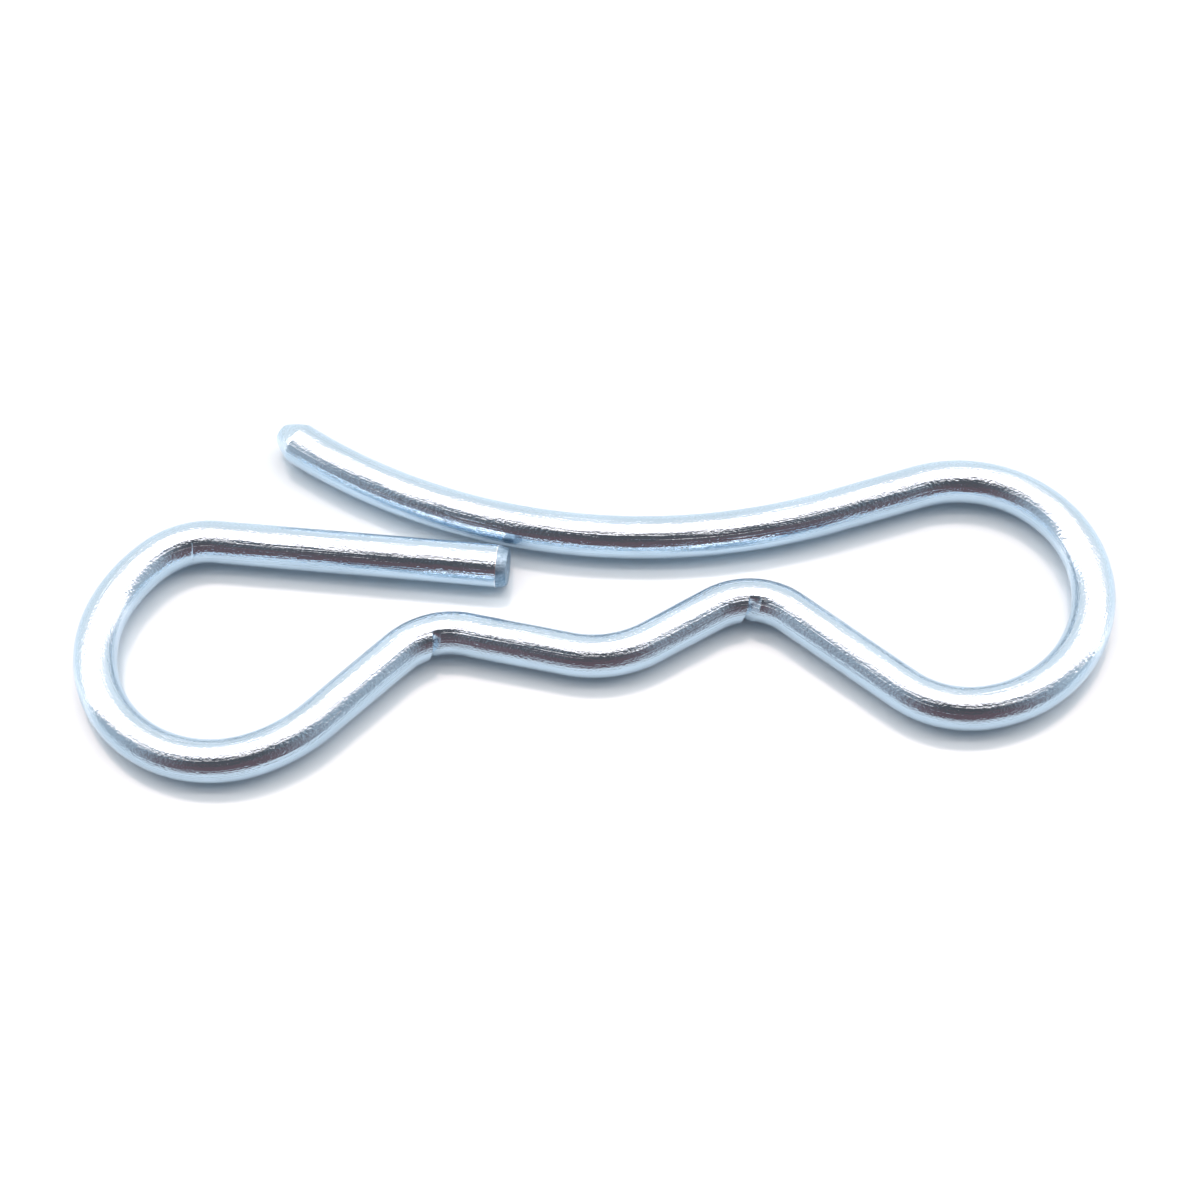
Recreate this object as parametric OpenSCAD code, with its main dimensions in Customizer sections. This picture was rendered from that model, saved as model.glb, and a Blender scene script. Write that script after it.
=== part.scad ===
// Bow tie cotter pin: one length of round spring wire, bent flat into two closed loops with a
// shaft seat between them. The long arm goes through a cross hole in a shaft, and the seat then
// snaps round the outside of the shaft. The short leg closes the left-hand loop.
//
// Millimetres, lying flat, +Z up. The origin is the deepest point of the shaft seat, in the plane
// that the pin lies on, so a seated shaft touches the Z axis. +X runs along the pin, to the loop
// that the long arm comes out of, and +Y points from the seat to the long arm.
//
// Every bend radius is that of the wire's centre line, and every angle is how far the wire turns.

/* [Wire] */
// Diameter of the wire
wire_d = 3.8; // [3:0.1:4.6]

/* [Shaft seat] */
// Bend radius of the seat
seat_radius = 9.6; // [6:0.1:14]
// Angle that the wire turns in the seat
seat_angle = 43.5; // [36:0.5:52]
// Angle of the seat to the line that both loops rest on
seat_lean = 5; // [0:0.5:10]
// Clear gap between the seat and the long arm, where the shaft's wall goes
shaft_gap = 8; // [6:0.1:10]

/* [Left-hand hump and loop] */
// Straight from the seat to the left-hand hump
left_seat_side = 9; // [6:0.1:13]
// Bend radius of the left-hand hump
left_hump_radius = 6.5; // [5:0.1:9]
// Angle that the wire turns over the left-hand hump
left_hump_angle = 57; // [47:0.5:66]
// Straight from the left-hand hump to its loop
left_slope = 9.2; // [6:0.1:14]
// Bend radius where the slope opens into the left-hand loop
left_lead_radius = 14.5; // [11.5:0.1:18]
// Angle of that opening bend
left_lead_angle = 26; // [20:0.5:32]
// Bend radius of the left-hand loop
left_loop_radius = 10.7; // [8.5:0.1:13]
// Angle that the wire turns in the left-hand loop
left_loop_angle = 131; // [115:0.5:150]
// Bend radius where the left-hand loop eases towards the short leg
left_ease_radius = 13.6; // [10:0.1:17]
// Angle of that easing bend
left_ease_angle = 26; // [15:0.5:35]

/* [Short leg] */
// Bend radius at the root of the short leg
short_leg_bend_radius = 7.2; // [5:0.1:9]
// Clear gap between the end of the short leg and the long arm
short_leg_gap = 0.5; // [0.2:0.05:2]
// Full-width length of the short leg
short_leg = 24.8; // [16:0.1:30]
// Length of the sheared edge at the end of the short leg
short_tip_length = 0.9; // [0.3:0.1:1.2]
// How far that edge draws the wire in all round
short_tip_bevel = 0.3; // [0.1:0.05:1]

/* [Right-hand hump and loop] */
// Straight from the seat to the right-hand hump
right_seat_side = 6.3; // [4:0.1:9]
// Bend radius of the right-hand hump
right_hump_radius = 5.9; // [4.6:0.1:8]
// Angle that the wire turns over the right-hand hump
right_hump_angle = 69.5; // [58:0.5:82]
// Straight from the right-hand hump to its loop
right_slope = 12; // [8:0.1:17]
// Bend radius where the slope turns into the right-hand loop
right_lead_radius = 9; // [6:0.1:12]
// Angle of that first bend
right_lead_angle = 46.5; // [38:0.5:56]
// Bend radius of the right-hand loop
right_loop_radius = 11.3; // [9.4:0.1:13.6]

/* [Long arm] */
// Straight where the long arm leaves its loop
arm_lead = 7.6; // [3:0.1:12]
// Bend radius of the long arm's gentle sweep
arm_radius = 53.5; // [44:0.5:70]
// Angle of the sweep
arm_angle = 54; // [40:0.5:66]
// Length of the long arm's pointed end
arm_tip_length = 1.3; // [0.5:0.1:3]
// How far that end draws the wire in all round
arm_tip_bevel = 0.85; // [0.3:0.05:1.3]

/* [Forming marks] */
// Radius of the rounded tool edge that was pressed into the inside of each hump
mark_radius = 1.4; // [0.8:0.1:2]
// Depth of its mark in the left-hand hump
left_mark_depth = 0.4; // [0.1:0.05:0.5]
// Depth of its mark in the right-hand hump
right_mark_depth = 0.25; // [0.1:0.05:0.5]
// How far round the wire each mark reaches, above and below the inside of its hump
mark_reach = 65; // [54:1:80]

/* [Hidden] */
$fn = 96;

// Each length laps into the one before it and is a hair slimmer or fuller than it, so that a
// joint between two lengths is a clean step far below the wire's own tolerance.
lap = 0.05;
hair = 0.04;

// Where the wire has got to, as [x, y, heading], after one more length of it
function after(place, length) =
    length[0] == "bend"
        ? let (
            radius = sign(length[2]) * length[1],
            heading = place[2] + length[2]
        ) [
            place[0] + radius * (sin(heading) - sin(place[2])),
            place[1] - radius * (cos(heading) - cos(place[2])),
            heading
        ]
        : [
            place[0] + length[1] * cos(place[2]),
            place[1] + length[1] * sin(place[2]),
            place[2]
        ];

// The same after a whole list of lengths
function after_all(lengths, place = [0, 0, 0], i = 0) =
    i < len(lengths) ? after_all(lengths, after(place, lengths[i]), i + 1) : place;

// The middle of a bend that starts at a place, with a positive radius for a turn to the left
function bend_middle(place, radius) =
    [place[0] - radius * sin(place[2]), place[1] + radius * cos(place[2])];

// The heading at which the wire leaves a bend so that a point fixed to it is at the wanted distance
// from the goal. That point is given from the bend's middle, along the wire and to its left.
// The side is 1 or -1, because there are two such headings.
function closing_heading(middle, along, left, goal, distance, side) =
    let (
        span = norm(goal - middle),
        reach = norm([along, left]),
        corner = acos((span * span + reach * reach - distance * distance) / (2 * span * reach)),
        bearing = atan2(goal[1] - middle[1], goal[0] - middle[0])
    ) bearing + side * corner - atan2(left, along);

// The same angle as a turn to the left of 0 to 360 degrees
function left_turn(angle) = angle - 360 * floor(angle / 360);

// The wire on each side of the seat, as a bender would list it, from the middle of the seat.
// A bend towards the shaft's side is positive, and one away from it is negative.
half_seat = ["bend", seat_radius, seat_angle / 2];

right_start = [
    ["straight", right_seat_side],
    ["bend", right_hump_radius, -right_hump_angle],
    ["straight", right_slope],
    ["bend", right_lead_radius, right_lead_angle]
];

// The right-hand loop is closed until the long arm passes the seat at the shaft's gap
right_loop_start = after_all(concat([half_seat], right_start));
right_loop_middle = bend_middle(right_loop_start, right_loop_radius);
arm_heading = closing_heading(
    right_loop_middle, arm_lead, -(arm_radius + right_loop_radius),
    [0, wire_d / 2], arm_radius + shaft_gap + wire_d / 2, -1
);
right_loop_angle = left_turn(arm_heading - right_loop_start[2]);

right_half = concat(right_start, [
    ["bend", right_loop_radius, right_loop_angle],
    ["straight", arm_lead],
    ["bend", arm_radius, -arm_angle],
    ["tip", arm_tip_length, arm_tip_bevel]
]);

left_start = [
    ["straight", left_seat_side],
    ["bend", left_hump_radius, -left_hump_angle],
    ["straight", left_slope],
    ["bend", left_lead_radius, left_lead_angle],
    ["bend", left_loop_radius, left_loop_angle],
    ["bend", left_ease_radius, left_ease_angle]
];

// The short leg is bent in until its end is clear of the long arm's sweep by its gap. This side
// of the wire is listed as its mirror image, so the sweep's middle is mirrored too.
arm_start = after_all(concat([half_seat], right_start, [
    ["bend", right_loop_radius, right_loop_angle],
    ["straight", arm_lead]
]));
arm_middle = bend_middle(arm_start, -arm_radius);
short_leg_start = after_all(concat([half_seat], left_start));
short_leg_heading = closing_heading(
    bend_middle(short_leg_start, short_leg_bend_radius), short_leg, -short_leg_bend_radius,
    [-arm_middle[0], arm_middle[1]], arm_radius + wire_d + short_leg_gap, 1
);

left_half = concat(left_start, [
    ["bend", short_leg_bend_radius, left_turn(short_leg_heading - short_leg_start[2])],
    ["straight", short_leg],
    ["tip", short_tip_length, short_tip_bevel]
]);

// Which entry of both lists is the hump
hump = 1;

// Moves what follows to the end of one length of wire, which starts at the origin along +X.
module at_end(length) {
    if (length[0] == "bend")
        translate([0, sign(length[2]) * length[1], 0])
            rotate(length[2])
                translate([0, -sign(length[2]) * length[1], 0])
                    children();
    else
        translate([length[1], 0, 0])
            children();
}

// Moves what follows to the start of the given entry of a list of lengths.
module at_start_of(lengths, entry, i = 0) {
    if (i < entry)
        at_end(lengths[i])
            at_start_of(lengths, entry, i + 1)
                children();
    else
        children();
}

module straight(length, d, end_d) {
    translate([-lap, 0, 0])
        rotate([0, 90, 0])
            cylinder(d1 = d, d2 = end_d, h = length + lap);
}

module bend(radius, angle, d) {
    lap_angle = lap / radius * 180 / PI;
    first = angle > 0 ? -90 - lap_angle : 90 - abs(angle);
    translate([0, sign(angle) * radius, 0])
        rotate(first)
            rotate_extrude(angle = abs(angle) + lap_angle)
                translate([radius, 0])
                    circle(d = d);
}

// Draws a list of lengths end to end, each in the frame that the one before it ends in.
module bent_wire(lengths, i = 0) {
    if (i < len(lengths)) {
        length = lengths[i];
        d = wire_d - (i + 1) % 2 * hair;
        if (length[0] == "bend")
            bend(length[1], length[2], d);
        else if (length[0] == "straight")
            straight(length[1], d, d);
        else
            straight(length[1], wire_d - 2 * hair, wire_d - 2 * length[2]);
        at_end(length)
            bent_wire(lengths, i + 1);
    }
}

// The scallop that the tool's edge left across the inside of a hump. The edge is a ring round the
// wire, set outwards so that the mark is deepest at the inside and runs out at its reach.
module forming_mark(lengths, depth) {
    half_hump = ["bend", lengths[hump][1], lengths[hump][2] / 2];
    outwards = depth * (wire_d - depth) / (wire_d * (1 - cos(mark_reach)) - 2 * depth);
    ring_radius = wire_d / 2 + outwards - depth + mark_radius;
    at_start_of(lengths, hump)
        at_end(half_hump)
            translate([0, outwards, 0])
                rotate([0, 90, 0])
                    rotate(180)
                        rotate_extrude(angle = 180)
                            translate([ring_radius, 0])
                                circle(r = mark_radius);
}

// The seat's own bend, drawn from its left-hand end to its right-hand end
module seat() {
    mirror([1, 0, 0])
        at_end(half_seat)
            mirror([1, 0, 0])
                bend(seat_radius, seat_angle, wire_d);
}

// Turns and lifts the wire so that the shaft's side of the seat is at the origin.
module from_seat() {
    rotate(seat_lean)
        translate([0, -wire_d / 2, wire_d / 2])
            children();
}

module wire() {
    color("lightsteelblue")
        from_seat()
            difference() {
                union() {
                    seat();
                    at_end(half_seat)
                        bent_wire(right_half);
                    mirror([1, 0, 0])
                        at_end(half_seat)
                            bent_wire(left_half);
                }
                at_end(half_seat)
                    forming_mark(right_half, right_mark_depth);
                mirror([1, 0, 0])
                    at_end(half_seat)
                        forming_mark(left_half, left_mark_depth);
            }
}

wire();
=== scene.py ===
"""Looks of a bow tie cotter pin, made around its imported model, and the studio that it lies in.

The pin is one length of drawn spring wire. It is bent here as a wire bender bends it, length by
length, then marked by the forming tools, sheared at both ends and plated with bright zinc.
Everything is in metres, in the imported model's own frame.
"""

import math

import bmesh
import bpy
import numpy as np
from mathutils import Matrix, Vector


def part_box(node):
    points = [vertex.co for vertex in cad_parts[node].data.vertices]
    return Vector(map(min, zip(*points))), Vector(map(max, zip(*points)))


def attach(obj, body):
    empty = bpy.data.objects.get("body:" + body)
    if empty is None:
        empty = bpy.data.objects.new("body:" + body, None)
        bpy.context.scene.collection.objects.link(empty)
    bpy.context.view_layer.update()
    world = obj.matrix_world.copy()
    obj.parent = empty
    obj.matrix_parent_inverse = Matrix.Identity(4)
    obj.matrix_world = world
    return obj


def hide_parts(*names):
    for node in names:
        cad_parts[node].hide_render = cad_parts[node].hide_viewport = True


bl_info = {
    "name": "Bow Tie Cotter Pin",
    "version": (1, 0, 0),
    "blender": (4, 5, 0),
    "location": "View3D > Sidebar > Cotter Pin",
    "description": "Bends, marks and plates a wire locking pin and sets up its studio",
    "category": "Add Mesh",
}

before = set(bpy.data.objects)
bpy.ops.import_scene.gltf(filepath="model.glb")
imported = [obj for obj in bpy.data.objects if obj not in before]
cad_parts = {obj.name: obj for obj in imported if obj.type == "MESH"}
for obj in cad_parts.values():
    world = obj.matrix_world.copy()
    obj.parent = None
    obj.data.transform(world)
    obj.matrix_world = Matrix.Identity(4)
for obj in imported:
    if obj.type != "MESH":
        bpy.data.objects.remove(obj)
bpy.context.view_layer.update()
WIRE_LOW, WIRE_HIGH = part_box("wire")

MM = 0.001
DRAWN_DIAMETER = WIRE_HIGH.z - WIRE_LOW.z


def length(label, millimetres, text):
    """A size in millimetres, kept in metres."""
    return bpy.props.FloatProperty(
        name=label, description=text, default=millimetres * MM, unit="LENGTH", precision=5
    )


def turn(label, degrees, text):
    """An angle in degrees, kept in radians."""
    return bpy.props.FloatProperty(
        name=label, description=text, default=math.radians(degrees), subtype="ANGLE"
    )


def amount(label, value, text):
    """A plain number."""
    return bpy.props.FloatProperty(name=label, description=text, default=value, precision=3)


def colour(label, value, text):
    """A colour as its red, green and blue."""
    return bpy.props.FloatVectorProperty(
        name=label, description=text, default=value, subtype="COLOR", size=3, min=0, max=1
    )


class WireSizes(bpy.types.PropertyGroup):
    """Sizes of the bent wire. Bend radii are those of the wire's centre line."""

    wire_diameter: length("Wire diameter", DRAWN_DIAMETER / MM, "Diameter of the drawn wire")

    seat_radius: length("Seat radius", 9.6, "Bend radius of the shaft seat")
    seat_angle: turn("Seat angle", 43.5, "Angle that the wire turns in the seat")
    seat_lean: turn("Seat lean", 5, "Angle of the seat to the line that both loops rest on")

    left_seat_side: length("Left seat side", 9, "Straight from the seat to the left hump")
    left_hump_radius: length("Left hump radius", 6.5, "Bend radius of the left hump")
    left_hump_angle: turn("Left hump angle", 57, "Angle that the wire turns over the left hump")
    left_slope: length("Left slope", 9.2, "Straight from the left hump to its loop")
    left_lead_radius: length("Left lead radius", 14.5, "Bend radius where the slope opens out")
    left_lead_angle: turn("Left lead angle", 26, "Angle of that opening bend")
    left_loop_radius: length("Left loop radius", 10.7, "Bend radius of the left loop")
    left_loop_angle: turn("Left loop angle", 131, "Angle that the wire turns in the left loop")
    left_ease_radius: length("Left ease radius", 13.6, "Bend radius where the loop eases off")
    left_ease_angle: turn("Left ease angle", 26, "Angle of that easing bend")

    leg_bend_radius: length("Leg bend radius", 7.2, "Bend radius at the short leg's root")
    leg_bend_angle: turn("Leg bend angle", 47.53, "Angle of the bend at the short leg's root")
    short_leg: length("Short leg", 24.8, "Full-width length of the short leg")
    short_tip: length("Short tip", 0.9, "Length of the sheared edge of the short leg")
    short_tip_bevel: length("Short tip bevel", 0.3, "How far that edge draws the wire in")

    right_seat_side: length("Right seat side", 6.3, "Straight from the seat to the right hump")
    right_hump_radius: length("Right hump radius", 5.9, "Bend radius of the right hump")
    right_hump_angle: turn("Right hump angle", 69.5, "Angle that the wire turns over the hump")
    right_slope: length("Right slope", 12, "Straight from the right hump to its loop")
    right_lead_radius: length("Right lead radius", 9, "Bend radius where the loop begins")
    right_lead_angle: turn("Right lead angle", 46.5, "Angle of that first bend")
    right_loop_radius: length("Right loop radius", 11.3, "Bend radius of the right loop")
    right_loop_angle: turn("Right loop angle", 189.98, "Angle that the wire turns in the loop")

    arm_lead: length("Arm lead", 7.6, "Straight where the long arm leaves its loop")
    arm_radius: length("Arm radius", 53.5, "Bend radius of the long arm's gentle sweep")
    arm_angle: turn("Arm angle", 53.5, "Angle of that sweep")
    arm_tip: length("Arm tip", 1.9, "Length of the long arm's pointed end")
    arm_tip_bevel: length("Arm tip bevel", 1.0, "How far that end draws the wire in")

    mark_reach: turn("Mark reach", 70, "How far round the wire the forming marks reach")
    left_mark_depth: length("Left mark depth", 0.5, "Depth of the tool's mark in the left hump")
    right_mark_depth: length("Right mark depth", 0.5, "Depth of its mark in the right hump")
    nick_depth: length("Nick depth", 0.07, "Depth of the nick inside the short leg's bend")


class Finish(bpy.types.PropertyGroup):
    """Colours and texture of the plating, and of the steel where it is sheared."""

    zinc: colour("Zinc", (0.62, 0.76, 0.88), "Colour of the bright blue-white zinc plating")
    gloss_roughness: amount("Gloss roughness", 0.08, "Roughness of the smooth plating")
    wave_depth: length("Wave depth", 0.045, "Depth of the slow unevenness of the drawn wire")
    draw_line_depth: length("Draw line depth", 0.022, "Depth of the lines left by wire drawing")
    scratch_depth: length("Scratch depth", 0.007, "Depth of the few long scratches")
    grain_depth: length("Grain depth", 0.035, "Depth of the plating's fine grain")
    # A painted highlight: near-white plating colour for a thin band round the sheared end
    painted_edge_highlight: colour("Painted edge highlight", (0.95, 0.97, 1.0), "Colour of the edge round the sheared end")
    dark_steel: colour("Dark steel", (0.19, 0.30, 0.41), "Darker colour of the torn steel")
    light_steel: colour("Light steel", (0.38, 0.53, 0.66), "Lighter colour of the torn steel")
    steel_roughness: amount("Steel roughness", 0.5, "Roughness of the torn steel")


class Studio(bpy.types.PropertyGroup):
    """Camera, floor and light."""

    target_x: length("Target X", -0.489, "Point on the pin that the camera looks at, along X")
    target_y: length("Target Y", 3.596, "Point on the pin that the camera looks at, along Y")
    distance: length("Distance", 293.73, "Distance from the camera to the pin")
    elevation: turn("Elevation", 60.335, "Height of the camera above the floor, as an angle")
    roll: turn("Roll", 4.01, "Clockwise turn of the camera about its line of sight")
    lens: amount("Lens", 101.8, "Focal length on a 36 mm wide sensor, in millimetres")
    floor: colour("Floor", (0.60, 0.745, 0.83), "Colour of the white table")
    floor_roughness: amount("Floor roughness", 0.15, "Roughness of the smooth table")
    floor_glow: amount("Floor glow", 0.02, "Light that shines through the white table")
    key: amount("Key light", 1.36, "Strength of the wide light above and beyond the pin")
    lamp: amount("Lamps", 5.8, "Strength of the two long lamps in that light")
    backdrop: amount("Backdrop", 1.05, "Strength of the pale backdrop beyond the light")
    room: amount("Room", 0.56, "Strength of the room on either side of the camera")
    dark_core: amount("Dark core", 0.105, "Strength of the darkness straight behind the camera")


# ---- The wire as a bender's list of lengths ----


def wire_lengths(sizes):
    """The bent wire from the short leg's shoulder to the long arm's, a length at a time.

    A straight is its length, and a bend is its radius and its angle, which is positive where
    the wire turns left.
    """
    return [
        ("straight", sizes.short_leg),
        ("bend", sizes.leg_bend_radius, sizes.leg_bend_angle),
        ("bend", sizes.left_ease_radius, sizes.left_ease_angle),
        ("bend", sizes.left_loop_radius, sizes.left_loop_angle),
        ("bend", sizes.left_lead_radius, sizes.left_lead_angle),
        ("straight", sizes.left_slope),
        ("bend", sizes.left_hump_radius, -sizes.left_hump_angle),
        ("straight", sizes.left_seat_side),
        ("bend", sizes.seat_radius, sizes.seat_angle),
        ("straight", sizes.right_seat_side),
        ("bend", sizes.right_hump_radius, -sizes.right_hump_angle),
        ("straight", sizes.right_slope),
        ("bend", sizes.right_lead_radius, sizes.right_lead_angle),
        ("bend", sizes.right_loop_radius, sizes.right_loop_angle),
        ("straight", sizes.arm_lead),
        ("bend", sizes.arm_radius, -sizes.arm_angle),
    ]


# Which entries of that list these are
LEG_BEND, LEFT_HUMP, SEAT, RIGHT_HUMP = 1, 6, 8, 10


def run_of(piece):
    """How much wire a length takes up."""
    return piece[1] if piece[0] == "straight" else piece[1] * abs(piece[2])


def moved_along(piece, share=1.0):
    """The move from the start of a length to a share of the way along it."""
    if piece[0] == "straight":
        return Matrix.Translation((piece[1] * share, 0, 0))
    side = math.copysign(piece[1], piece[2])
    return (
        Matrix.Translation((0, side, 0))
        @ Matrix.Rotation(piece[2] * share, 4, "Z")
        @ Matrix.Translation((0, -side, 0))
    )


def wire_frames(sizes, lengths):
    """Where each length starts, and where the last one ends.

    The deepest point of the shaft seat is at the origin in plan, and the wire lies on z = 0.
    """
    start = Matrix.Identity(4)
    starts = [start]
    for piece in lengths:
        start = start @ moved_along(piece)
        starts.append(start)
    radius = sizes.wire_diameter / 2
    seat_middle = starts[SEAT] @ moved_along(lengths[SEAT], 0.5)
    wanted = Matrix.Rotation(sizes.seat_lean, 4, "Z") @ Matrix.Translation((0, -radius, radius))
    place = wanted @ seat_middle.inverted()
    return [place @ start for start in starts]


# ---- Modelling the wire ----

# Points round the wire, and the gap between its rings, which is less where a tool is pressed in
SIDES = 72
RING_GAP = 0.3 * MM
MARK_RING_GAP = 0.06 * MM

# Two lengths or places that differ by less than this count as the same one.
SAME = 0.01 * MM

# A ring's points are looked for as far out as this share of the wire's radius.
RING_REACH = 1.1

# Points closer than this are merged, and faces that meet at less than this angle are smooth.
MERGED = 0.001 * MM
SMOOTH_ANGLE = math.radians(30)

# A cut end starts with a short straight shoulder, and is then drawn in by steps. A crispness of 1
# is a straight bevel, and a lower one is rounder.
SHOULDER = 0.03 * MM
TIP_STEPS = 8
SHORT_TIP_CRISPNESS = 0.5
ARM_TIP_CRISPNESS = 0.6

# The finished wire is this much smaller in plan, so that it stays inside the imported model's box.
FIT = 0.9995


def deselect_all():
    bpy.ops.object.select_all(action="DESELECT")


def bend_tube(lengths, frames, radius):
    """Runs a ring of wire through every length: straights are extruded and bends are spun."""
    deselect_all()
    heading = frames[0].to_euler().z
    bpy.ops.mesh.primitive_circle_add(
        vertices=SIDES,
        radius=radius,
        fill_type="NOTHING",
        location=frames[0].translation,
        rotation=(0, math.pi / 2, heading),
    )
    wire = bpy.context.object
    wire.name = wire.data.name = "plated_wire"
    bpy.ops.object.transform_apply(location=True, rotation=True, scale=True)
    bpy.ops.object.mode_set(mode="EDIT")
    bpy.ops.mesh.select_all(action="SELECT")
    for index, (piece, start) in enumerate(zip(lengths, frames)):
        if piece[0] == "straight":
            along = frames[index + 1].translation - start.translation
            bpy.ops.mesh.extrude_region_move(TRANSFORM_OT_translate={"value": along})
        else:
            gap = MARK_RING_GAP if index in (LEG_BEND, LEFT_HUMP, RIGHT_HUMP) else RING_GAP
            side = math.copysign(piece[1], piece[2])
            bpy.ops.mesh.spin(
                steps=math.ceil(run_of(piece) / gap),
                angle=-piece[2],
                center=start @ Vector((0, side, 0)),
                axis=(0, 0, 1),
            )
    return wire


def divide_straights(wire, lengths):
    """Cuts the long faces of the straights into rings as close as those of the bends."""
    for piece in lengths:
        if piece[0] != "straight":
            continue
        bpy.ops.mesh.select_all(action="DESELECT")
        mesh = bmesh.from_edit_mesh(wire.data)
        for edge in mesh.edges:
            if abs(edge.calc_length() - piece[1]) < SAME:
                edge.select = True
        bmesh.update_edit_mesh(wire.data)
        bpy.ops.mesh.subdivide(number_cuts=math.ceil(piece[1] / RING_GAP) - 1)


def select_ring(wire, place, radius):
    """Selects the wire's vertices that lie in the plane across the wire at a place on it."""
    bpy.ops.mesh.select_all(action="DESELECT")
    mesh = bmesh.from_edit_mesh(wire.data)
    inverse = place.inverted()
    for vertex in mesh.verts:
        spot = inverse @ vertex.co
        vertex.select = abs(spot.x) < SAME and spot.yz.length < radius * RING_REACH
    mesh.select_flush(True)
    bmesh.update_edit_mesh(wire.data)


def shear_end(wire, shoulder, radius, outline):
    """Draws the wire in to its cut end, and closes it with a grid of faces.

    The outline is a list of distances from the shoulder and of how far the wire is drawn in there.
    """
    select_ring(wire, shoulder, radius)
    reached, width = 0, radius
    for distance, bevel in outline:
        along = (shoulder.to_3x3() @ Vector((1, 0, 0))) * (distance - reached)
        share = (radius - bevel) / width
        bpy.ops.mesh.extrude_region_move(TRANSFORM_OT_translate={"value": along})
        bpy.ops.transform.resize(value=(share, share, share))
        reached, width = distance, radius - bevel
    bpy.ops.mesh.fill_grid(span=SIDES // 4)


def tip_outline(tip_length, bevel, crispness):
    """Each step of a cut end, as its distance along and how far the wire is drawn in there."""
    outline = [(SHOULDER, 0)]
    for step in range(TIP_STEPS):
        share = (step + 1) / TIP_STEPS
        drawn_in = bevel * share * (crispness + (1 - crispness) * share)
        outline.append((tip_length * share, drawn_in))
    return outline


# Places round a bend are counted from this angle before its start, and places on the first and
# the last length go on this far past their ends, to take in the cut ends.
BEFORE_BEND = 0.1
BEYOND_END = 10 * MM


def stock_places(points, lengths, frames):
    """Where each point was on the straight wire, before it was bent and pressed.

    The values are how far along the wire it was, how far to the left of its middle, and how far
    above its middle.
    """
    best = np.full(len(points), np.inf)
    stock = np.zeros((len(points), 3))
    reach = 0.0
    last = len(lengths) - 1
    for index, (piece, start) in enumerate(zip(lengths, frames)):
        inverse = np.array(start.inverted())
        local = points @ inverse[:3, :3].T + inverse[:3, 3]
        run = run_of(piece)
        if piece[0] == "straight":
            along, left = local[:, 0], local[:, 1]
        else:
            side = math.copysign(1, piece[2])
            across = piece[1] - side * local[:, 1]
            turned = np.arctan2(local[:, 0], across)
            turned = (turned + BEFORE_BEND) % (2 * math.pi) - BEFORE_BEND
            along = turned * piece[1]
            left = side * (piece[1] - np.hypot(local[:, 0], across))
        low = -BEYOND_END if index == 0 else -SAME
        high = run + (BEYOND_END if index == last else SAME)
        inside = (along > low) & (along < high)
        away = np.where(inside, np.hypot(left, local[:, 2]), np.inf)
        nearer = away < best
        best[nearer] = away[nearer]
        stock[nearer] = np.stack([along + reach, left, local[:, 2]], axis=1)[nearer]
        reach += run
    return stock


# Depth of each mark along the wire, as a share of its full depth: places in mm, then shares. The
# metal is heaped up before the steep wall, where a share is negative.
LEFT_MARK = (
    (-3.0, -1.2, -0.12, 0, 0.6, 1.2, 2.2, 3.4),
    (0, -0.08, -0.2, 1, 0.2, 0.14, 0.07, 0),
)
RIGHT_MARK = ((-2.5, -0.12, 0, 0.95, 1.3, 2.2), (0, -0.12, 1, 0.05, 0.08, 0))
NICK = ((-0.25, 0, 0.12), (0, 1, 0))

# How far along its bend each mark is
LEFT_MARK_PLACE = 0.42
RIGHT_MARK_PLACE = 0.36
NICK_PLACE = 0.47

# Slope of the tool's edge across the wire, the share of its reach over which a mark fades out, and
# how far from the wire's middle the tool presses
TOOL_LEAN = math.tan(math.radians(20))
FADE_SHARE = 0.4
TOOL_SPAN = 3.2 * MM

# Points on the wire's very middle are taken to be this far from it.
NEAREST = 1e-9


def press_mark(points, place, outline, depth, reach):
    """Presses a tool's edge into the right-hand side of the wire, as far round it as its reach."""
    inverse = np.array(place.inverted())
    local = points @ inverse[:3, :3].T + inverse[:3, 3]
    along = local[:, 0] - TOOL_LEAN * local[:, 2]
    away = np.maximum(np.hypot(local[:, 1], local[:, 2]), NEAREST)
    from_tool = np.arccos(np.clip(-local[:, 1] / away, -1, 1))
    fade = np.clip((reach - from_tool) / (FADE_SHARE * reach), 0, 1)
    places, shares = outline
    share = np.interp(along / MM, places, shares, left=0, right=0)
    pressed = np.where(away < TOOL_SPAN, depth * share * fade**2 * (3 - 2 * fade), 0)
    local[:, 1:] *= (1 - pressed / away)[:, None]
    matrix = np.array(place)
    points[:] = local @ matrix[:3, :3].T + matrix[:3, 3]


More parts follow.
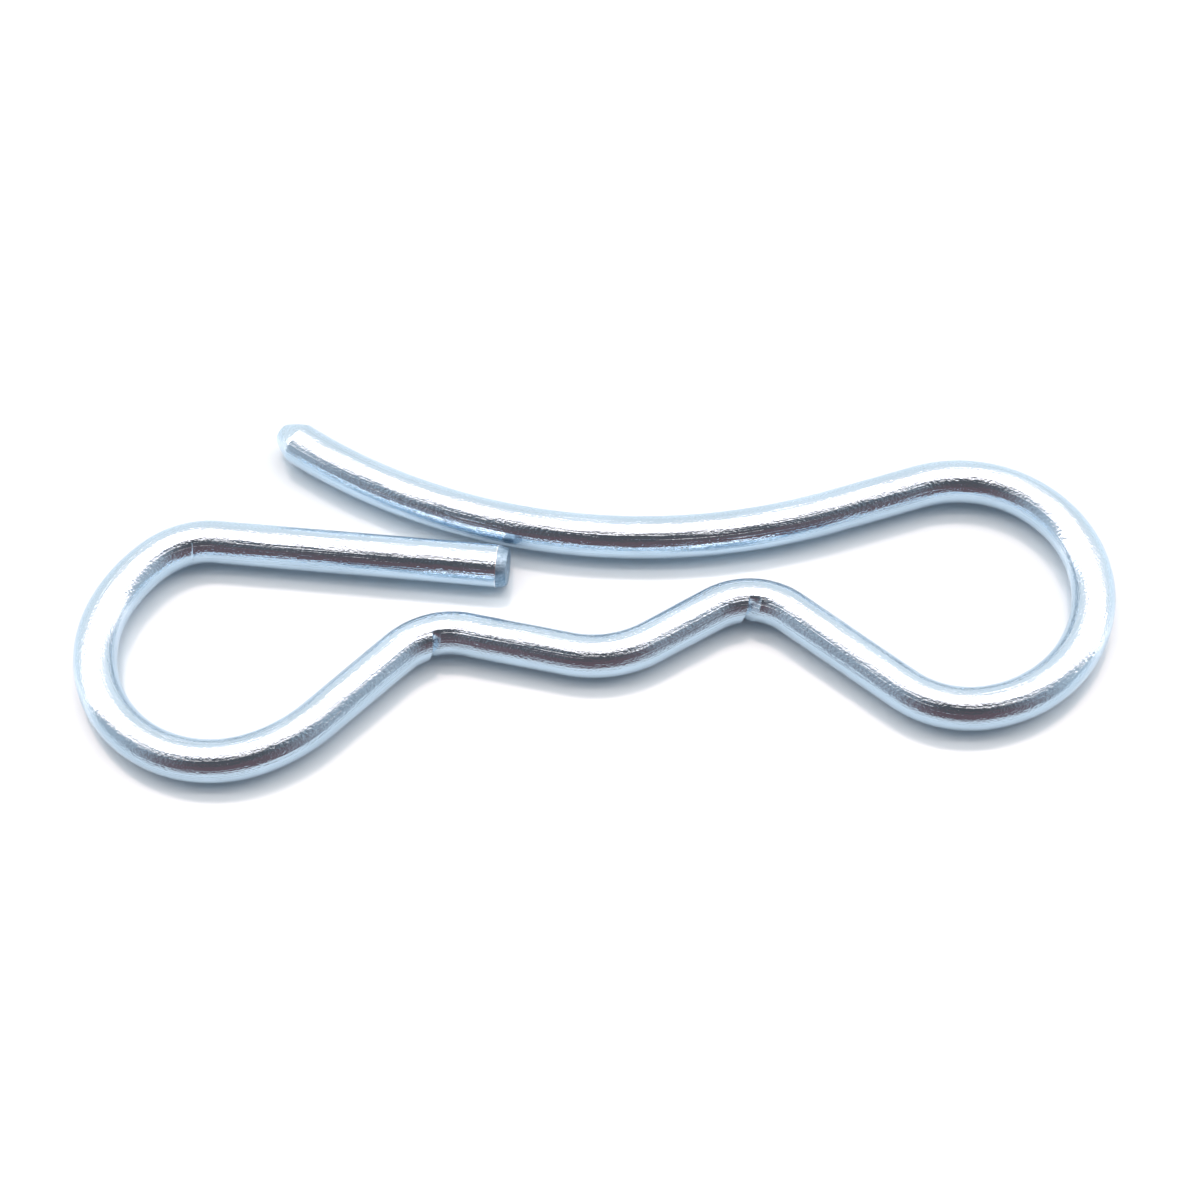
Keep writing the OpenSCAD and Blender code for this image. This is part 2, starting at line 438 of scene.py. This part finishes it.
class PIN_OT_bend_wire(bpy.types.Operator):
    """Bend the wire, press the forming marks into it and shear both ends"""

    bl_idname = "cotter_pin.bend_wire"
    bl_label = "Bend Wire"

    def execute(self, context):
        sizes = context.scene.pin_wire
        lengths = wire_lengths(sizes)
        frames = wire_frames(sizes, lengths)
        radius = sizes.wire_diameter / 2
        wire = bend_tube(lengths, frames, radius)
        divide_straights(wire, lengths)
        short_end = frames[0] @ Matrix.Rotation(math.pi, 4, "Z")
        short_tip = tip_outline(sizes.short_tip, sizes.short_tip_bevel, SHORT_TIP_CRISPNESS)
        arm_tip = tip_outline(sizes.arm_tip, sizes.arm_tip_bevel, ARM_TIP_CRISPNESS)
        shear_end(wire, short_end, radius, short_tip)
        shear_end(wire, frames[-1], radius, arm_tip)
        bpy.ops.mesh.select_all(action="SELECT")
        bpy.ops.mesh.remove_doubles(threshold=MERGED)
        bpy.ops.mesh.normals_make_consistent(inside=False)
        bpy.ops.object.mode_set(mode="OBJECT")
        points = np.array([vertex.co for vertex in wire.data.vertices])
        stock = stock_places(points, lengths, frames)
        attribute = wire.data.attributes.new("stock", "FLOAT_VECTOR", "POINT")
        attribute.data.foreach_set("vector", stock.astype(np.float32).ravel())
        left_hump = frames[LEFT_HUMP] @ moved_along(lengths[LEFT_HUMP], LEFT_MARK_PLACE)
        right_hump = frames[RIGHT_HUMP] @ moved_along(lengths[RIGHT_HUMP], RIGHT_MARK_PLACE)
        leg_bend = frames[LEG_BEND] @ moved_along(lengths[LEG_BEND], NICK_PLACE)
        leg_bend = leg_bend @ Matrix.Rotation(math.pi, 4, "X")
        press_mark(points, left_hump, LEFT_MARK, sizes.left_mark_depth, sizes.mark_reach)
        press_mark(points, right_hump, RIGHT_MARK, sizes.right_mark_depth, sizes.mark_reach)
        press_mark(points, leg_bend, NICK, sizes.nick_depth, sizes.mark_reach)
        points[:, :2] *= FIT
        wire.data.vertices.foreach_set("co", points.astype(np.float32).ravel())
        wire.data.update()
        bpy.ops.object.shade_smooth_by_angle(angle=SMOOTH_ANGLE)
        wire.data.materials.append(zinc_plating(context.scene.pin_finish))
        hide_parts("wire")
        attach(wire, "root")
        return {"FINISHED"}


# ---- Materials ----


def new_material(name):
    """An empty material, its nodes and its links."""
    material = bpy.data.materials.new(name)
    material.use_nodes = True
    nodes = material.node_tree.nodes
    nodes.clear()
    return material, nodes, material.node_tree.links


def colour_mix(nodes, links, factor, first, second):
    """Goes from the first colour to the second as the factor goes from 0 to 1."""
    mix = nodes.new("ShaderNodeMix")
    mix.data_type = "RGBA"
    links.new(factor, mix.inputs["Factor"])
    for value, socket in ((first, mix.inputs["A"]), (second, mix.inputs["B"])):
        if isinstance(value, tuple):
            socket.default_value = (*value, 1)
        else:
            links.new(value, socket)
    return mix.outputs["Result"]


def math_step(nodes, links, operation, first, second):
    """One sum on two numbers, of which the second may be plain."""
    step = nodes.new("ShaderNodeMath")
    step.operation = operation
    links.new(first, step.inputs[0])
    if isinstance(second, float):
        step.inputs[1].default_value = second
    else:
        links.new(second, step.inputs[1])
    return step.outputs["Value"]


def tinted(strength, tint):
    """A colour made brighter or darker, as red, green and blue."""
    return tuple(strength * part for part in tint)


# Patterns in the plating: the size of their patches along and across the wire, how many finer
# layers they have, and a seed that keeps them apart.
CLOUDS = (9 * MM, 1.6 * MM, 3, 0)
SCRATCHES = (14 * MM, 0.1 * MM, 2, 6)
TORN = (0.35 * MM, 0.3 * MM, 4, 3)
GLOSS = (3 * MM, 0.5 * MM, 3, 5)
WAVES = (4 * MM, 0.9 * MM, 1, 1)
DRAW_LINES = (6 * MM, 0.16 * MM, 1, 2)
GRAIN = (0.26 * MM, 0.2 * MM, 2, 4)

# The part of a pattern's range over which it takes full effect
CLOUD_RANGE = (0.35, 0.65)
SCRATCH_RANGE = (0.6, 0.72)
TORN_RANGE = (0.3, 0.7)
GLOSS_RANGE = (0.3, 0.7)

# Brightness of the plating in its dull and clear clouds and in its scratches, and how much its
# roughness changes
DULL, CLEAR, SCRATCHED = 0.94, 1.04, 0.8
GLOSS_CHANGE = (0.75, 1.25)

# How far along the wire the painted highlight round the sheared end reaches
EDGE_HIGHLIGHT_LENGTH = 0.1 * MM


def zinc_plating(finish):
    """Bright zinc over drawn wire, with bare torn steel at the sheared end of the short leg."""
    material, nodes, links = new_material("bright_zinc")
    output = nodes.new("ShaderNodeOutputMaterial")
    surface = nodes.new("ShaderNodeBsdfPrincipled")
    links.new(surface.outputs["BSDF"], output.inputs["Surface"])
    surface.inputs["Metallic"].default_value = 1
    stock = nodes.new("ShaderNodeAttribute")
    stock.attribute_name = "stock"

    def noise(pattern):
        """Noise from 0 to 1 that follows the wire."""
        along, across, detail, seed = pattern
        mapping = nodes.new("ShaderNodeMapping")
        mapping.inputs["Location"].default_value = (seed, seed, seed)
        mapping.inputs["Scale"].default_value = (1 / along, 1 / across, 1 / across)
        texture = nodes.new("ShaderNodeTexNoise")
        texture.inputs["Scale"].default_value = 1
        texture.inputs["Detail"].default_value = detail
        links.new(stock.outputs["Vector"], mapping.inputs["Vector"])
        links.new(mapping.outputs["Vector"], texture.inputs["Vector"])
        return texture.outputs["Fac"]

    def ranged(value, start, end, low=0, high=1):
        """Goes evenly from low to high as the value goes from start to end."""
        ramp = nodes.new("ShaderNodeMapRange")
        ramp.inputs["From Min"].default_value = start
        ramp.inputs["From Max"].default_value = end
        ramp.inputs["To Min"].default_value = low
        ramp.inputs["To Max"].default_value = high
        links.new(value, ramp.inputs["Value"])
        return ramp.outputs["Result"]

    def mixed(factor, first, second):
        return colour_mix(nodes, links, factor, first, second)

    def bumped(height, depth, under=None):
        """Raises the surface by up to this depth, on top of the bumps under it."""
        bump = nodes.new("ShaderNodeBump")
        bump.inputs["Distance"].default_value = depth
        links.new(height, bump.inputs["Height"])
        if under:
            links.new(under, bump.inputs["Normal"])
        return bump.outputs["Normal"]

    place = nodes.new("ShaderNodeSeparateXYZ")
    links.new(stock.outputs["Vector"], place.inputs["Vector"])
    sheared = ranged(place.outputs["X"], 0, -SHOULDER)

    clouds = ranged(noise(CLOUDS), *CLOUD_RANGE)
    plating = mixed(clouds, tinted(DULL, finish.zinc), tinted(CLEAR, finish.zinc))
    scratches = ranged(noise(SCRATCHES), *SCRATCH_RANGE, low=1, high=0)
    plating = mixed(scratches, tinted(SCRATCHED, finish.zinc), plating)
    torn = ranged(noise(TORN), *TORN_RANGE)
    steel = mixed(torn, tuple(finish.dark_steel), tuple(finish.light_steel))
    # Painted highlight: a thin near-white band of plating just before the short leg's sheared end
    edge_highlight_mask = ranged(place.outputs["X"], EDGE_HIGHLIGHT_LENGTH, 0)
    bright = mixed(edge_highlight_mask, plating, tuple(finish.painted_edge_highlight))
    links.new(mixed(sheared, bright, steel), surface.inputs["Base Color"])

    gloss = ranged(noise(GLOSS), *GLOSS_RANGE, *GLOSS_CHANGE)
    glossy = math_step(nodes, links, "MULTIPLY", gloss, finish.gloss_roughness)
    roughness = nodes.new("ShaderNodeMix")
    links.new(sheared, roughness.inputs["Factor"])
    links.new(glossy, roughness.inputs["A"])
    roughness.inputs["B"].default_value = finish.steel_roughness
    links.new(roughness.outputs["Result"], surface.inputs["Roughness"])

    relief = bumped(noise(WAVES), finish.wave_depth)
    relief = bumped(noise(DRAW_LINES), finish.draw_line_depth, relief)
    relief = bumped(scratches, finish.scratch_depth, relief)
    relief = bumped(noise(GRAIN), finish.grain_depth, relief)
    links.new(relief, surface.inputs["Normal"])
    return material


TABLE_IOR = 1.6


def table_surface(studio):
    """A smooth white table that glows a little where it is seen or mirrored."""
    material, nodes, links = new_material("white_table")
    surface = nodes.new("ShaderNodeBsdfPrincipled")
    surface.inputs["Base Color"].default_value = (*studio.floor, 1)
    surface.inputs["Roughness"].default_value = studio.floor_roughness
    surface.inputs["IOR"].default_value = TABLE_IOR
    glow = nodes.new("ShaderNodeEmission")
    path = nodes.new("ShaderNodeLightPath")
    seen = path.outputs["Is Camera Ray"]
    for ray in ("Is Glossy Ray", "Is Transmission Ray"):
        seen = math_step(nodes, links, "MAXIMUM", seen, path.outputs[ray])
    strength = math_step(nodes, links, "MULTIPLY", seen, studio.floor_glow)
    links.new(strength, glow.inputs["Strength"])
    both = nodes.new("ShaderNodeAddShader")
    links.new(surface.outputs["BSDF"], both.inputs[0])
    links.new(glow.outputs["Emission"], both.inputs[1])
    output = nodes.new("ShaderNodeOutputMaterial")
    links.new(both.outputs["Shader"], output.inputs["Surface"])
    return material


# ---- Studio ----


# Turn of the light tent, and of the darkness behind the camera, about the vertical
TENT_YAW = math.radians(5)
DARK_CORE_YAW = math.radians(-4)

# Each light of the tent, with the angle in degrees at which it starts, up from the open front, and
# the same for the backdrop. A softness is the sine of half the angle that an edge spreads over.
TENT_LIGHTS = ((77, "key"), (95, "lamp"), (102, "key"), (114, "lamp"), (121, "key"))
EDGE_SOFTNESS = 0.035
BACKDROP_ANGLE = 137
BACKDROP_SOFTNESS = 0.16

# Tints of the lights, of the room, and of the lower and higher part of the darkness
LAMP_TINT = (1.22, 1.0, 0.92)
ROOM_TINT = (0.90, 1.0, 1.10)
LOW_TINT = (1.7, 1.1, 1.2)
HIGH_TINT = (1.05, 1.0, 1.05)

# Where the lower part of the darkness turns into the higher one, as the sine of the height, and
# where the room turns into the darkness, as the cosine of the angle to its middle
LOW_TO_HIGH = (0.45, 0.75)
ROOM_TO_CORE = (0.30, 0.97)

# The table and the camera's nearest sight in metres, and its sensor in millimetres
TABLE_SIZE = 4
CLIP_START = 0.01
SENSOR_WIDTH = 36


def studio_light(studio):
    """A white light tent: bright above, paler beyond the pin, and open and dim at the front."""
    world = bpy.data.worlds.new("studio")
    bpy.context.scene.world = world
    world.use_nodes = True
    nodes, links = world.node_tree.nodes, world.node_tree.links
    nodes.clear()
    direction = nodes.new("ShaderNodeTexCoord").outputs["Generated"]

    def vector_step(operation, vector, other=(1, 1, 1)):
        """One sum on a direction, with a second direction where the sum takes one."""
        step = nodes.new("ShaderNodeVectorMath")
        step.operation = operation
        step.inputs[1].default_value = other
        links.new(vector, step.inputs[0])
        return step

    def facing(looking, towards, start, end):
        """Rises smoothly from 0 to 1 as a direction turns towards the given one."""
        ramp = nodes.new("ShaderNodeMapRange")
        ramp.interpolation_type = "SMOOTHSTEP"
        ramp.inputs["From Min"].default_value = start
        ramp.inputs["From Max"].default_value = end
        dot = vector_step("DOT_PRODUCT", looking, towards)
        links.new(dot.outputs["Value"], ramp.inputs["Value"])
        return ramp.outputs["Result"]

    def blend(factor, first, second):
        return colour_mix(nodes, links, factor, first, second)

    def calculated(operation, first, second):
        return math_step(nodes, links, operation, first, second)

    def beyond(degrees, yaw, softness):
        """Rises from 0 to 1 past a slanting plane at this angle up from the open front."""
        angle = math.radians(degrees)
        square_to_plane = (
            math.sin(yaw) * math.sin(angle),
            math.cos(yaw) * math.sin(angle),
            math.cos(angle),
        )
        return facing(direction, square_to_plane, -softness, softness)

    flattened = vector_step("MULTIPLY", direction, (1, 1, 0)).outputs["Vector"]
    level = vector_step("NORMALIZE", flattened).outputs["Vector"]
    front = (math.sin(DARK_CORE_YAW), -math.cos(DARK_CORE_YAW), 0)
    lights = {"key": tinted(studio.key, LAMP_TINT), "lamp": tinted(studio.lamp, LAMP_TINT)}
    low = tinted(studio.dark_core, LOW_TINT)
    high = tinted(studio.dark_core, HIGH_TINT)
    core = blend(facing(direction, (0, 0, 1), *LOW_TO_HIGH), low, high)
    sky = blend(facing(level, front, *ROOM_TO_CORE), tinted(studio.room, ROOM_TINT), core)
    for degrees, light in TENT_LIGHTS:
        sky = blend(beyond(degrees, TENT_YAW, EDGE_SOFTNESS), sky, lights[light])
    backdrop = beyond(BACKDROP_ANGLE, 0, BACKDROP_SOFTNESS)
    sky = blend(backdrop, sky, (studio.backdrop,) * 3)
    # All that the camera sees beyond the table is white, and so is the backdrop in a mirror.
    rays = nodes.new("ShaderNodeLightPath").outputs
    mirrored = calculated("MAXIMUM", rays["Is Glossy Ray"], rays["Is Transmission Ray"])
    mirrored = calculated("MULTIPLY", mirrored, backdrop)
    seen = calculated("MAXIMUM", rays["Is Camera Ray"], mirrored)
    sky = blend(seen, sky, (1.0, 1.0, 1.0))
    background = nodes.new("ShaderNodeBackground")
    links.new(sky, background.inputs["Color"])
    output = nodes.new("ShaderNodeOutputWorld")
    links.new(background.outputs["Background"], output.inputs["Surface"])


class PIN_OT_set_studio(bpy.types.Operator):
    """Lay out the table, the light and the camera"""

    bl_idname = "cotter_pin.set_studio"
    bl_label = "Set Studio"

    def execute(self, context):
        studio = context.scene.pin_studio
        deselect_all()
        bpy.ops.mesh.primitive_plane_add(size=TABLE_SIZE, location=(0, 0, 0))
        table = context.object
        table.name = table.data.name = "table"
        table.data.materials.append(table_surface(studio))
        studio_light(studio)
        target = Vector((studio.target_x, studio.target_y, WIRE_HIGH.z / 2))
        tilt = math.pi / 2 - studio.elevation
        facing = Matrix.Rotation(tilt, 4, "X") @ Matrix.Rotation(-studio.roll, 4, "Z")
        camera_data = bpy.data.cameras.new("camera")
        camera_data.sensor_width = SENSOR_WIDTH
        camera_data.lens = studio.lens
        camera_data.clip_start = CLIP_START
        camera = bpy.data.objects.new("camera", camera_data)
        context.scene.collection.objects.link(camera)
        camera.matrix_world = (
            Matrix.Translation(target) @ facing @ Matrix.Translation((0, 0, studio.distance))
        )
        context.scene.camera = camera
        context.scene.view_settings.view_transform = "Standard"
        return {"FINISHED"}


class PIN_PT_panel(bpy.types.Panel):
    """Lists the steps that make the pin"""

    bl_label = "Bow Tie Cotter Pin"
    bl_idname = "PIN_PT_panel"
    bl_space_type = "VIEW_3D"
    bl_region_type = "UI"
    bl_category = "Cotter Pin"

    def draw(self, context):
        for operator in OPERATORS:
            self.layout.operator(operator.bl_idname)


GROUPS = {"pin_wire": WireSizes, "pin_finish": Finish, "pin_studio": Studio}
OPERATORS = (PIN_OT_bend_wire, PIN_OT_set_studio)


def register():
    for kind in (*GROUPS.values(), *OPERATORS, PIN_PT_panel):
        bpy.utils.register_class(kind)
    for name, group in GROUPS.items():
        setattr(bpy.types.Scene, name, bpy.props.PointerProperty(type=group))


def unregister():
    for name in GROUPS:
        delattr(bpy.types.Scene, name)
    for kind in (PIN_PT_panel, *reversed(OPERATORS), *reversed(GROUPS.values())):
        bpy.utils.unregister_class(kind)


def main():
    register()
    bpy.ops.cotter_pin.bend_wire()
    bpy.ops.cotter_pin.set_studio()


if __name__ == "__main__":
    main()
